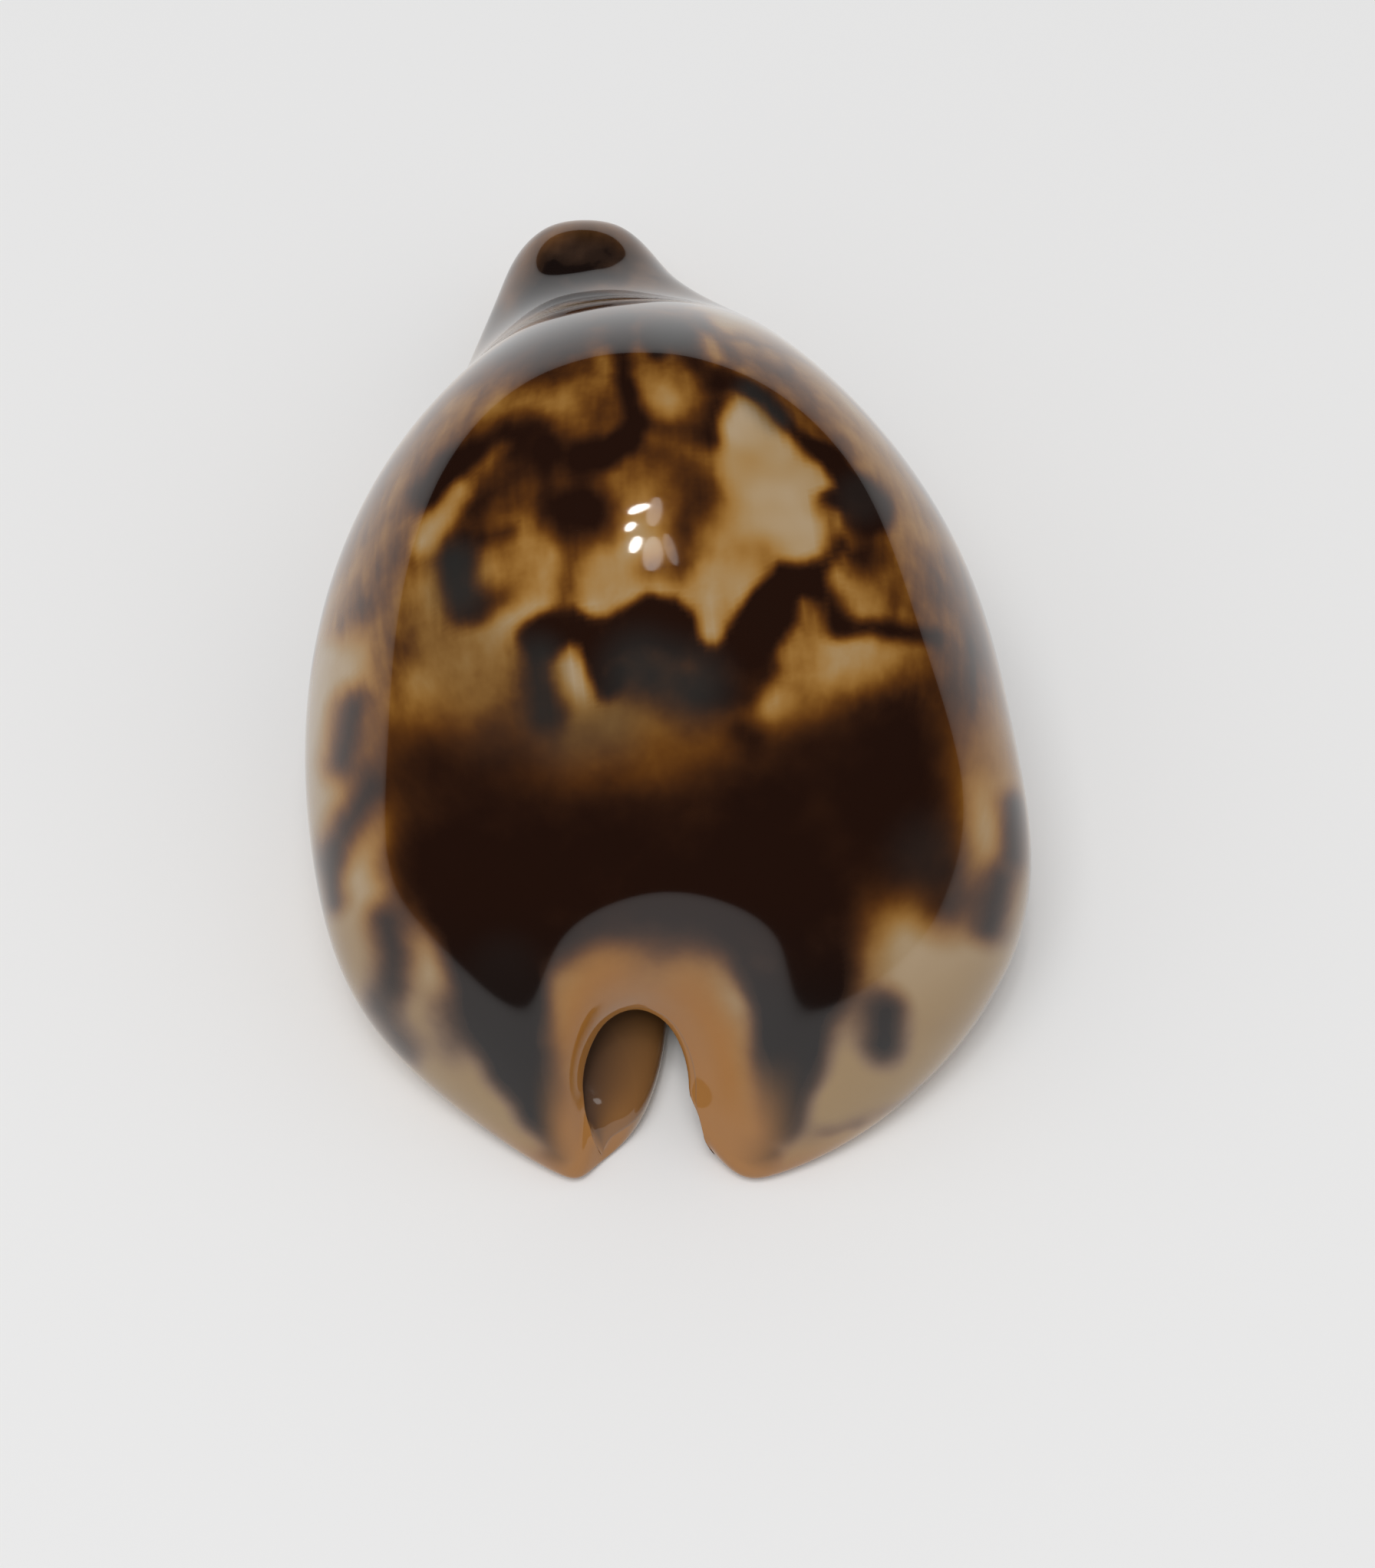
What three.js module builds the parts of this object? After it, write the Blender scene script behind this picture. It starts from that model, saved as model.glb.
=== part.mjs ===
// Fulton's cowrie: one empty adult shell lying on its base.
// Millimetres. +X is the outer (labral) lip's side, +Y points to the narrow front end,
// +Z is up through the back. The origin is under the middle of the shell, on the plane it rests on.
// The photograph shows the back from behind and above. The base, the mouth and the inside are not
// in view and follow the species: a long curved mouth with short coarse teeth on both lips.
import * as THREE from "three";

// The shell is one wall bent round a hollow. Stations run from the back canal to the front canal.
// Each row is one slanting slice of the outside:
//   foot, crest  y of the slice at the base and at the back's crest
//   left, right  x of the widest points
//   top          height of the crest
//   mid          height of the widest points
//   base         height of the underside
//   rise         height of the mouth's rounded edge above the underside
//   lipL, lipR   x of the mouth's two edges
//   side, roof, floor  thickness of the wall at the side, the crest and the base
//   tuck         how far the mouth's edge stands ahead of the slice's foot
//   heel         how far the shoulders stand behind the slice
//   swell        fullness of the shoulders
const STATIONS = [
  [-28.6, -21.4, -4.9, 1.9, 8.8, 5.0, 2.0, 0.0, -4.0, 2.4, 1.0, 1.6, 1.0, 0.0, 0.0, 1.0],
  [-29.4, -21.2, -5.4, 5.0, 12.4, 6.4, 0.9, 0.6, -3.6, 2.6, 1.8, 3.6, 1.5, 2.2, 0.0, 1.0],
  [-29.2, -20.0, -6.8, 7.0, 15.6, 7.6, 0.4, 1.8, -2.6, 2.6, 2.8, 5.0, 2.3, 2.2, 0.3, 1.0],
  [-26.9, -18.3, -11.2, 13.0, 18.4, 8.0, 0.2, 2.0, -1.2, 2.4, 5.0, 5.4, 3.4, 1.0, 0.8, 1.0],
  [-21.6, -15.6, -17.5, 18.0, 21.8, 8.5, 0.1, 2.0, 0.1, 2.0, 4.8, 3.8, 4.4, 0.0, 1.4, 1.0],
  [-14.5, -11.8, -19.5, 21.1, 27.0, 9.0, 0.0, 2.0, 0.3, 2.7, 3.4, 2.4, 4.4, 0.0, 1.0, 1.0],
  [-6.0, -5.8, -20.7, 19.7, 32.2, 9.0, 0.0, 2.0, 0.7, 3.7, 3.0, 2.0, 4.4, 0.0, 0.0, 1.0],
  [3.0, 2.4, -20.0, 18.5, 34.2, 8.5, 0.0, 2.0, 0.6, 4.2, 3.0, 2.0, 4.4, 0.0, 0.0, 0.97],
  [11.0, 10.4, -17.4, 14.9, 31.0, 8.0, 0.1, 2.0, -0.7, 3.5, 3.2, 2.2, 4.2, 0.0, 0.0, 0.91],
  [18.0, 18.0, -13.4, 10.8, 22.8, 7.0, 0.3, 2.0, -2.9, 1.7, 3.2, 2.8, 3.6, 0.0, 0.0, 0.86],
  [24.0, 24.0, -12.3, 8.5, 13.6, 6.0, 0.6, 2.0, -5.3, -1.1, 2.4, 2.8, 2.2, 0.0, 0.0, 0.96],
  [29.5, 29.5, -10.8, -0.1, 10.4, 5.5, 0.9, 2.0, -6.6, -3.0, 1.7, 2.4, 1.5, 0.0, 0.0, 1.0],
  [34.0, 34.0, -9.7, -1.3, 9.4, 5.0, 1.4, 1.0, -6.8, -3.6, 1.6, 2.0, 1.4, 0.0, 0.0, 1.0],
  [35.0, 35.0, -7.5, -3.1, 6.8, 4.8, 2.7, 0.0, -6.5, -3.9, 0.4, 0.6, 0.6, 0.0, 0.0, 1.0],
];
const SHIFT_X = -0.05;       // brings the middle of the shell over the origin
const SHIFT_Y = -3.1;
const SINK = 0.12;           // the base is worn flat by this much where it rests
const LEAN_POWER = 1.4;      // how a slice leans from its foot to its crest
const COLUMELLA = 5.0;       // height of the thick fold inside the left lip
const LIP_ROLL = 0.8;        // roundness of the mouth's edges
const FLARE = [0.3, 0.65];   // how the back canal widens into the hollow
const LABRAL_TEETH = 18;     // teeth on the right lip
const COLUMELLAR_TEETH = 11; // teeth on the left lip
const TEETH_FROM = 0.1;      // share of the way from the back canal where the right lip's teeth begin
const LEFT_FROM = 0.296;     // and where the left lip's begin; its hind end is smooth
const TEETH_TO = 0.93;       // where they end
const GROOVE = 0.75;         // depth of the grooves between the teeth
const LABRAL_REACH = 0.085;  // how far the teeth run out over the base, as a share of the section
const COLUMELLAR_REACH = 0.06;
const INSIDE_REACH = 0.035;  // how far they run into the mouth

// Points of half a slice, from the mouth's edge to beside the crest.
// Across: shares of lip to margin, then of middle to margin.
// Up: shares of underside to mid height, then of mid height to crest.
const SLICE = {
  across: [0, 0, 0.3, 0.62, 0.92, 1.04, 1.06, 0.97, 0.68, 0.26],
  up: [0, 0, 0, 0, 0.1, 0.55, 0.12, 0.48, 0.9, 1.03],
};
// The same for the rims of the two canals, which are plain arches.
const RIM = {
  across: [0, 0.1, 0.3, 0.55, 0.8, 0.96, 1, 0.92, 0.64, 0.25],
  up: [0, 0.15, 0.33, 0.52, 0.72, 0.9, 0.15, 0.5, 0.88, 1.02],
};
const SWELL_SHARE = [0, 0, 0, 0, 0, 0, 0, 0.3, 1, 1];
const HEEL_SHARE = [0, 0, 0, 0, 0, 0.3, 0.8, 1, 0.6, 0.2, 0];
const TUCK_SHARE = [1, 1, 0.5, 0, 0, 0, 0, 0, 0, 0, 0];
// Shares of the roof's and the base's thickness along half a slice; the rest is side wall.
const ROOF_SHARE = [0, 0, 0, 0, 0, 0, 0.1, 0.4, 0.8, 1, 1];
const FLOOR_SHARE = [1, 1, 1, 1, 0.6, 0.15, 0, 0, 0, 0, 0];
// Roundness of the two canals' rims.
const ROLL = [0, 0, 0.12, 0.2, 0.3, 0.4, 0.45, 0.45, 0.45, 0.45, 0.45];

const COLUMNS = 21;

function clamp(v, lo, hi) {
  return Math.min(hi, Math.max(lo, v));
}

function smoothstep(a, b, v) {
  const k = clamp((v - a) / (b - a), 0, 1);
  return k * k * (3 - 2 * k);
}

// Weights of a clamped, evenly knotted cubic B-spline with n control points at u.
function weights(n, u) {
  const spans = n - 3;
  const knots = [];
  for (let i = 0; i < n + 4; i += 1) {
    knots.push(clamp((i - 3) / spans, 0, 1));
  }
  const v = clamp(u, 0, 1 - 1e-12);
  let b = [];
  for (let i = 0; i < n + 3; i += 1) {
    b.push(knots[i] <= v && v < knots[i + 1] ? 1 : 0);
  }
  for (let d = 1; d <= 3; d += 1) {
    const next = [];
    for (let i = 0; i < b.length - 1; i += 1) {
      const w1 = knots[i + d] - knots[i];
      const w2 = knots[i + d + 1] - knots[i + 1];
      const a1 = w1 > 0 ? (v - knots[i]) / w1 : 0;
      const a2 = w2 > 0 ? (knots[i + d + 1] - v) / w2 : 0;
      next.push(a1 * b[i] + a2 * b[i + 1]);
    }
    b = next;
  }
  return b;
}

// One side of a slice, from the mouth's edge along the underside, round the margin and up the back.
function halfSlice(st, side, rim) {
  const [, , left, right, top, mid, base, rise, lipL, lipR] = st;
  const margin = side < 0 ? left : right;
  const lip = side < 0 ? lipL : lipR;
  const middle = (left + right) / 2;
  const swell = st[15];
  const form = rim ? RIM : SLICE;
  return form.across.map((share, k) => {
    const full = share * (1 + SWELL_SHARE[k] * (swell - 1));
    const x = k < 5 ? lip + share * (margin - lip) : middle + full * (margin - middle);
    const z = k < 6 ? base + form.up[k] * (mid - base) : mid + form.up[k] * (top - mid);
    return [x, k === 0 ? z + rise : z];
  });
}

function outerNet() {
  return STATIONS.map((st, i) => {
    const rim = i === 0 || i === STATIONS.length - 1;
    const crown = [(st[2] + st[3]) / 2, st[5] + 1.04 * (st[4] - st[5])];
    const ring = [...halfSlice(st, -1, rim), crown, ...halfSlice(st, 1, rim).reverse()];
    return ring.map(([x, z], j) => {
      const edge = Math.min(j, COLUMNS - 1 - j);
      const lean = Math.pow(clamp(z / st[4], 0, 1.1), LEAN_POWER);
      const slide = st[13] * TUCK_SHARE[edge] - st[14] * HEEL_SHARE[edge];
      return new THREE.Vector3(x, st[0] + (st[1] - st[0]) * lean + slide, z);
    });
  });
}

// Difference between neighbours, halved in the middle of a list and whole at its ends.
function slope(list, i) {
  const a = list[Math.max(i - 1, 0)];
  const b = list[Math.min(i + 1, list.length - 1)];
  const span = Math.min(i + 1, list.length - 1) - Math.max(i - 1, 0);
  return b.clone().sub(a).divideScalar(span);
}

// The inside is the outside moved inward by the wall, with the fold raised beside the mouth.
function innerNet(outer) {
  const rows = outer.length;
  const net = outer.map((ring, i) => ring.map((p, j) => {
    const st = STATIONS[i];
    const edge = Math.min(j, COLUMNS - 1 - j);
    const along = slope(outer.map((r) => r[j]), i);
    const round = slope(ring, j);
    const n = round.cross(along).normalize();
    const [side, roof, floor] = st.slice(10, 13);
    const upper = ROOF_SHARE[edge] * roof + (1 - ROOF_SHARE[edge]) * side;
    const wall = FLOOR_SHARE[edge] * floor + (1 - FLOOR_SHARE[edge]) * upper;
    const q = p.clone().addScaledVector(n, -wall);
    if (i >= 5 && i <= 9 && (j === 2 || j === 3)) {
      q.z += j === 2 ? COLUMELLA : 0.5 * COLUMELLA;
    }
    return q;
  }));
  const last = COLUMNS - 1;
  for (let i = 0; i < rows; i += 1) {
    for (const [j, k] of [[0, 1], [last, last - 1]]) {
      net[i][j] = outer[i][j].clone();
      net[i][k] = outer[i][j].clone().multiplyScalar(1 + LIP_ROLL).addScaledVector(outer[i][k], -LIP_ROLL);
    }
  }
  for (const [i, k] of [[0, 1], [rows - 1, rows - 2]]) {
    for (let j = 0; j < COLUMNS; j += 1) {
      net[i][j] = outer[i][j].clone();
      if (j >= 2 && j <= last - 2) {
        const roll = ROLL[Math.min(j, last - j)];
        net[k][j] = outer[i][j].clone().multiplyScalar(1 + roll).addScaledVector(outer[k][j], -roll);
      }
    }
  }
  // Ahead of the back canal the inside widens evenly into the hollow.
  for (let j = 2; j <= last - 2; j += 1) {
    net[2][j] = net[1][j].clone().lerp(net[4][j], FLARE[0]);
    net[3][j] = net[1][j].clone().lerp(net[4][j], FLARE[1]);
  }
  return net;
}

function pointOn(net, s, t) {
  const ws = weights(net.length, s);
  const wt = weights(COLUMNS, t);
  const p = new THREE.Vector3();
  for (let i = 0; i < ws.length; i += 1) {
    for (let j = 0; j < COLUMNS && ws[i] > 0; j += 1) {
      p.addScaledVector(net[i][j], ws[i] * wt[j]);
    }
  }
  return p;
}

// Depth of the groove at s along the mouth and t round the section.
function groove(s, t, inside) {
  const left = t < 0.5;
  const from = left ? LEFT_FROM : TEETH_FROM;
  const share = (s - from) / (TEETH_TO - from);
  const count = left ? COLUMELLAR_TEETH : LABRAL_TEETH;
  const outside = left ? COLUMELLAR_REACH : LABRAL_REACH;
  const reach = inside ? INSIDE_REACH : outside;
  const near = 1 - smoothstep(0.25 * reach, reach, Math.min(t, 1 - t));
  const ends = smoothstep(0, 0.03, share) * smoothstep(0, 0.03, 1 - share);
  return GROOVE * near * ends * Math.pow(Math.sin(Math.PI * count * share), 2);
}

// The finished surface: spline, grooves, and the flat that the shell rests on.
function surfacePoint(net, s, t, inside) {
  const p = pointOn(net, s, t);
  const depth = groove(s, t, inside);
  if (depth > 1e-4) {
    const e = 1e-4;
    const ds = pointOn(net, Math.min(s + e, 1), t).sub(pointOn(net, Math.max(s - e, 0), t));
    const dt = pointOn(net, s, Math.min(t + e, 1)).sub(pointOn(net, s, Math.max(t - e, 0)));
    const out = dt.cross(ds).normalize();
    p.addScaledVector(out, inside ? depth : -depth);
  }
  return new THREE.Vector3(p.x + SHIFT_X, p.y + SHIFT_Y, Math.max(p.z - SINK, 0));
}

// Rows follow the teeth: four to a labral tooth, five to a columellar one.
function rowShares() {
  const rows = [0, 0.007, 0.018, 0.033, 0.052, 0.075];
  for (let i = 0; i <= 4 * LABRAL_TEETH; i += 1) {
    rows.push(TEETH_FROM + ((TEETH_TO - TEETH_FROM) * i) / (4 * LABRAL_TEETH));
  }
  return [...rows, 0.945, 0.96, 0.975, 0.989, 1];
}

// Columns are close together at the lips and even over the back.
function columnShares() {
  const lip = [0, 0.012, 0.027, 0.045, 0.066, 0.092];
  const half = [...lip, 0.125, 0.162, 0.2, 0.24, 0.285, 0.33, 0.373, 0.416, 0.459];
  return [...half, 0.5, ...half.slice().reverse().map((t) => 1 - t)];
}

// Both faces of the wall share the edge of the mouth and the rims of the two canals.
function shellGeometry() {
  const outer = outerNet();
  const inner = innerNet(outer);
  const ss = rowShares();
  const ts = columnShares();
  const ns = ss.length;
  const nt = ts.length;
  const points = [];
  const outerIndex = [];
  const innerIndex = [];
  for (let a = 0; a < ns; a += 1) {
    for (let b = 0; b < nt; b += 1) {
      outerIndex.push(points.length);
      points.push(surfacePoint(outer, ss[a], ts[b], false));
    }
  }
  for (let a = 0; a < ns; a += 1) {
    for (let b = 0; b < nt; b += 1) {
      const edge = a === 0 || b === 0 || a === ns - 1 || b === nt - 1;
      if (edge) {
        innerIndex.push(outerIndex[a * nt + b]);
      } else {
        innerIndex.push(points.length);
        points.push(surfacePoint(inner, ss[a], ts[b], true));
      }
    }
  }
  const index = [];
  for (let a = 0; a < ns - 1; a += 1) {
    for (let b = 0; b < nt - 1; b += 1) {
      const k = a * nt + b;
      const quad = [k, k + 1, k + nt + 1, k + nt];
      const [p, q, r, s] = quad.map((i) => outerIndex[i]);
      index.push(p, q, r, p, r, s);
      const [u, v, w, x] = quad.map((i) => innerIndex[i]);
      index.push(u, w, v, u, x, w);
    }
  }
  const geometry = new THREE.BufferGeometry();
  const xyz = points.flatMap((p) => [p.x, p.y, p.z]);
  geometry.setAttribute("position", new THREE.Float32BufferAttribute(xyz, 3));
  geometry.setIndex(index);
  geometry.computeVertexNormals();
  return geometry;
}

const enamel = new THREE.MeshStandardMaterial({ color: 0x6b4a2c, roughness: 0.12, metalness: 0 });
enamel.name = "enamel";
const shell = new THREE.Mesh(shellGeometry(), enamel);
shell.name = "shell";

const group = new THREE.Group();
group.name = "fultons_cowrie";
group.add(shell);

export default group;
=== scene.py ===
"""A Fulton's cowrie: one glossy adult shell lying on a pale floor."""
import math

import bpy
import mathutils
import numpy as np
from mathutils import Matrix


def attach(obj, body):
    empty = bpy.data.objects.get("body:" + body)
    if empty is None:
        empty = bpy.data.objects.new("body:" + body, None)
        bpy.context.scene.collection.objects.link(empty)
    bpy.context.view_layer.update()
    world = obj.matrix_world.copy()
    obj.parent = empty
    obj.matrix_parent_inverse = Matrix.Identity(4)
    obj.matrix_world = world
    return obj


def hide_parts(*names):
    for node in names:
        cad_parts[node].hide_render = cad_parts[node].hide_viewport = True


bl_info = {
    "name": "Fulton's Cowrie Shell",
    "version": (1, 0, 0),
    "blender": (4, 5, 0),
    "location": "View3D > Sidebar > Cowrie",
    "description": "Builds a glossy cowrie shell, its floor, its lights and its camera",
    "category": "Add Mesh",
}

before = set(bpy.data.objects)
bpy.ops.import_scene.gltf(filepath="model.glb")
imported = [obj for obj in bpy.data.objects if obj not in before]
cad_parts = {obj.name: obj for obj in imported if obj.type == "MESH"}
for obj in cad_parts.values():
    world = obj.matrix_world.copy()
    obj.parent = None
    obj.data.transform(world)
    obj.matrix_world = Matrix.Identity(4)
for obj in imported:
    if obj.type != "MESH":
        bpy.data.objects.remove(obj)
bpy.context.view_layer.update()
MM = 0.001


def linear(hex_colour):
    """An sRGB hex colour as linear red, green and blue."""
    c = np.array([int(hex_colour[i:i + 2], 16) / 255 for i in (1, 3, 5)])
    return tuple(float(v) for v in np.where(c <= 0.04045, c / 12.92, ((c + 0.055) / 1.055) ** 2.4))


# The wall's stations from the back canal to the front canal, in mm, as the solid has them: y of the
# slice at its foot and crest, x of its widest points left and right, height of the crest, of the widest
# points and of the underside, rise of the mouth's rounded edge, x of the mouth's two edges, thickness at
# the side, the roof and the floor, how far the mouth's edge stands ahead and the shoulders stand behind,
# and the fullness of the shoulders.
STATIONS = np.array([
    [-28.6, -21.4, -4.9, 1.9, 8.8, 5.0, 2.0, 0.0, -4.0, 2.4, 1.0, 1.6, 1.0, 0.0, 0.0, 1.0],
    [-29.4, -21.2, -5.4, 5.0, 12.4, 6.4, 0.9, 0.6, -3.6, 2.6, 1.8, 3.6, 1.5, 2.2, 0.0, 1.0],
    [-29.2, -20.0, -6.8, 7.0, 15.6, 7.6, 0.4, 1.8, -2.6, 2.6, 2.8, 5.0, 2.3, 2.2, 0.3, 1.0],
    [-26.9, -18.3, -11.2, 13.0, 18.4, 8.0, 0.2, 2.0, -1.2, 2.4, 5.0, 5.4, 3.4, 1.0, 0.8, 1.0],
    [-21.6, -15.6, -17.5, 18.0, 21.8, 8.5, 0.1, 2.0, 0.1, 2.0, 4.8, 3.8, 4.4, 0.0, 1.4, 1.0],
    [-14.5, -11.8, -19.5, 21.1, 27.0, 9.0, 0.0, 2.0, 0.3, 2.7, 3.4, 2.4, 4.4, 0.0, 1.0, 1.0],
    [-6.0, -5.8, -20.7, 19.7, 32.2, 9.0, 0.0, 2.0, 0.7, 3.7, 3.0, 2.0, 4.4, 0.0, 0.0, 1.0],
    [3.0, 2.4, -20.0, 18.5, 34.2, 8.5, 0.0, 2.0, 0.6, 4.2, 3.0, 2.0, 4.4, 0.0, 0.0, 0.97],
    [11.0, 10.4, -17.4, 14.9, 31.0, 8.0, 0.1, 2.0, -0.7, 3.5, 3.2, 2.2, 4.2, 0.0, 0.0, 0.91],
    [18.0, 18.0, -13.4, 10.8, 22.8, 7.0, 0.3, 2.0, -2.9, 1.7, 3.2, 2.8, 3.6, 0.0, 0.0, 0.86],
    [24.0, 24.0, -12.3, 8.5, 13.6, 6.0, 0.6, 2.0, -5.3, -1.1, 2.4, 2.8, 2.2, 0.0, 0.0, 0.96],
    [29.5, 29.5, -10.8, -0.1, 10.4, 5.5, 0.9, 2.0, -6.6, -3.0, 1.7, 2.4, 1.5, 0.0, 0.0, 1.0],
    [34.0, 34.0, -9.7, -1.3, 9.4, 5.0, 1.4, 1.0, -6.8, -3.6, 1.6, 2.0, 1.4, 0.0, 0.0, 1.0],
    [35.0, 35.0, -7.5, -3.1, 6.8, 4.8, 2.7, 0.0, -6.5, -3.9, 0.4, 0.6, 0.6, 0.0, 0.0, 1.0],
])
# Moves the shell's middle over the origin, and lets its two rests be worn flat.
SHIFT = np.array([-0.05, -3.1, -0.12])
# How a slice curves from its foot to its crest, how far the fold inside the left lip is raised, in mm,
# how far the outside's curve rolls in at the mouth's edge, and how the back canal opens into the hollow.
LEAN_POWER = 1.4
COLUMELLA = 5.0
LIP_ROLL = 0.8
FLARE = (0.3, 0.65)
# Shares along the shell at which the right lip's teeth and the left lip's start, and where both end.
TEETH_FROM, LEFT_FROM, TEETH_TO = 0.1, 0.296, 0.93
# Columns close to each lip, and how many of the outside's elsewhere go to one of the inside's.
LIP_COLUMNS, INSIDE_STEP = 25, 4

# Points of half a slice from the mouth's edge to beside the crest. Across, the first five are shares of
# lip to margin and the rest of middle to margin. Up, the first six are shares of underside to the widest
# height and the rest of that to crest. The slices at the two canals' rims have their own. The swell is
# how much of the shoulders' fullness each point takes.
ACROSS = np.array([0, 0, 0.3, 0.62, 0.92, 1.04, 1.06, 0.97, 0.68, 0.26])
UP = np.array([0, 0, 0, 0, 0.1, 0.55, 0.12, 0.48, 0.9, 1.03])
RIM_ACROSS = np.array([0, 0.1, 0.3, 0.55, 0.8, 0.96, 1, 0.92, 0.64, 0.25])
RIM_UP = np.array([0, 0.15, 0.33, 0.52, 0.72, 0.9, 0.15, 0.5, 0.88, 1.02])
SWELL_SHARE = np.array([0, 0, 0, 0, 0, 0, 0, 0.3, 1, 1])
LIP_TO_MARGIN, BASE_TO_MIDDLE = 5, 6
# The crest's own point stands higher by this share, because the spline passes below it.
CREST_OVERSHOOT = 1.04


def both_halves(half):
    """The values of half a section, mirrored about its last one, which is the crest's."""
    half = np.asarray(half, float)
    return np.concatenate([half, half[-2::-1]])


# How much of the heel, the tuck, the roof's and the floor's wall and the rims' roll each point takes.
HEEL_SHARE = both_halves([0, 0, 0, 0, 0, 0.3, 0.8, 1, 0.6, 0.2, 0])
TUCK_SHARE = both_halves([1, 1, 0.5, 0, 0, 0, 0, 0, 0, 0, 0])
ROOF_SHARE = both_halves([0, 0, 0, 0, 0, 0, 0.1, 0.4, 0.8, 1, 1])
FLOOR_SHARE = both_halves([1, 1, 1, 1, 0.6, 0.15, 0, 0, 0, 0, 0])
ROLL = both_halves([0, 0, 0.12, 0.2, 0.3, 0.4, 0.45, 0.45, 0.45, 0.45, 0.45])


def smoothstep(a, b, v):
    """0 below a, 1 above b, and 3k^2 - 2k^3 between them."""
    k = np.clip((v - a) / (b - a), 0, 1)
    return k * k * (3 - 2 * k)


def spline_weights(count, u):
    """Weights of a clamped, evenly knotted cubic B-spline with count control points, one row for each u.

    Each degree mixes its two neighbours of the degree below by the share of the knot span passed.
    """
    knots = np.concatenate([np.zeros(3), np.linspace(0, 1, count - 2), np.ones(3)])
    u = np.clip(np.asarray(u, float), 0, 1 - 1e-12)[:, None]
    w = ((knots[:-1] <= u) & (u < knots[1:])).astype(float)
    for d in (1, 2, 3):
        span_a = knots[d:-1] - knots[:-d - 1]
        span_b = knots[d + 1:] - knots[1:-d]
        a = np.divide(u - knots[:-d - 1], span_a, out=np.zeros((len(u), len(span_a))), where=span_a > 0)
        b = np.divide(knots[d + 1:] - u, span_b, out=np.zeros((len(u), len(span_b))), where=span_b > 0)
        w = a * w[:, :-1] + b * w[:, 1:]
    return w


def slice_half(station, side, rim):
    """x and z of half a slice: lip to margin across the base, then margin to crest by the shares."""
    _, _, left, right, top, mid, base, rise, lip_l, lip_r = station[:10]
    margin, lip = (left, lip_l) if side < 0 else (right, lip_r)
    middle = (left + right) / 2
    across, up = (RIM_ACROSS, RIM_UP) if rim else (ACROSS, UP)
    full = across * (1 + SWELL_SHARE * (station[15] - 1))
    k = np.arange(len(across))
    x = np.where(k < LIP_TO_MARGIN, lip + across * (margin - lip), middle + full * (margin - middle))
    z = np.where(k < BASE_TO_MIDDLE, base + up * (mid - base), mid + up * (top - mid))
    z[0] += rise
    return x, z


def outer_net():
    """Control points of the outside: each station's slice, leaning from its foot to its crest."""
    rows = []
    for i, st in enumerate(STATIONS):
        rim = i in (0, len(STATIONS) - 1)
        (xa, za), (xb, zb) = slice_half(st, -1, rim), slice_half(st, 1, rim)
        x = np.concatenate([xa, [(st[2] + st[3]) / 2], xb[::-1]])
        z = np.concatenate([za, [st[5] + CREST_OVERSHOOT * (st[4] - st[5])], zb[::-1]])
        lean = np.clip(z / st[4], 0, 1.1) ** LEAN_POWER
        y = st[0] + (st[1] - st[0]) * lean + st[13] * TUCK_SHARE - st[14] * HEEL_SHARE
        rows.append(np.stack([x, y, z], -1))
    return np.array(rows)


def inner_net(outer):
    """Control points of the inside: the outside moved inward by the wall, with the fold raised.

    The wall is the station's floor, roof or side thickness by the shares round the section. At the
    mouth's edges and the canals' rims the first inner points carry the outside's curve on.
    """
    normal = np.cross(np.gradient(outer, axis=1), np.gradient(outer, axis=0))
    normal /= np.linalg.norm(normal, axis=2, keepdims=True)
    side, roof, floor = (STATIONS[:, k:k + 1] for k in (10, 11, 12))
    wall = FLOOR_SHARE * floor + (1 - FLOOR_SHARE) * (ROOF_SHARE * roof + (1 - ROOF_SHARE) * side)
    net = outer - wall[..., None] * normal
    # The fold stands on the left, from the sixth station to the tenth.
    net[5:10, 2, 2] += COLUMELLA
    net[5:10, 3, 2] += 0.5 * COLUMELLA
    for j, k in ((0, 1), (-1, -2)):
        net[:, j] = outer[:, j]
        net[:, k] = outer[:, j] + LIP_ROLL * (outer[:, j] - outer[:, k])
    for i, k in ((0, 1), (-1, -2)):
        net[i] = outer[i]
        net[k, 2:-2] = (outer[i] + ROLL[:, None] * (outer[i] - outer[k]))[2:-2]
    for k, share in ((2, FLARE[0]), (3, FLARE[1])):
        net[k, 2:-2] = ((1 - share) * net[1] + share * net[4])[2:-2]
    return net


def surface(net, s, t):
    """Points of the spline surface: weights along s times net times weights round t."""
    along, round_ = spline_weights(net.shape[0], s), spline_weights(net.shape[1], t)
    return np.einsum("ai,ijk,bj->abk", along, net, round_)


def groove_depth(s, t, inside, sizes):
    """Depth between the teeth, in mm: a squared sine along the mouth, fading away from its edge."""
    left = t < 0.5
    start = np.where(left, LEFT_FROM, TEETH_FROM)
    share = (s[:, None] - start) / (TEETH_TO - start)
    count = np.where(left, sizes.columellar_teeth, sizes.labral_teeth)
    # A groove runs out at this share round the section from the lip.
    reach = 0.035 if inside else np.where(left, 0.06, 0.085)
    near = 1 - smoothstep(0.25 * reach, reach, np.minimum(t, 1 - t))
    ends = smoothstep(0, 0.03, share) * smoothstep(0, 0.03, 1 - share)
    return sizes.groove_depth / MM * near * ends * np.sin(math.pi * count * share) ** 2


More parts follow.
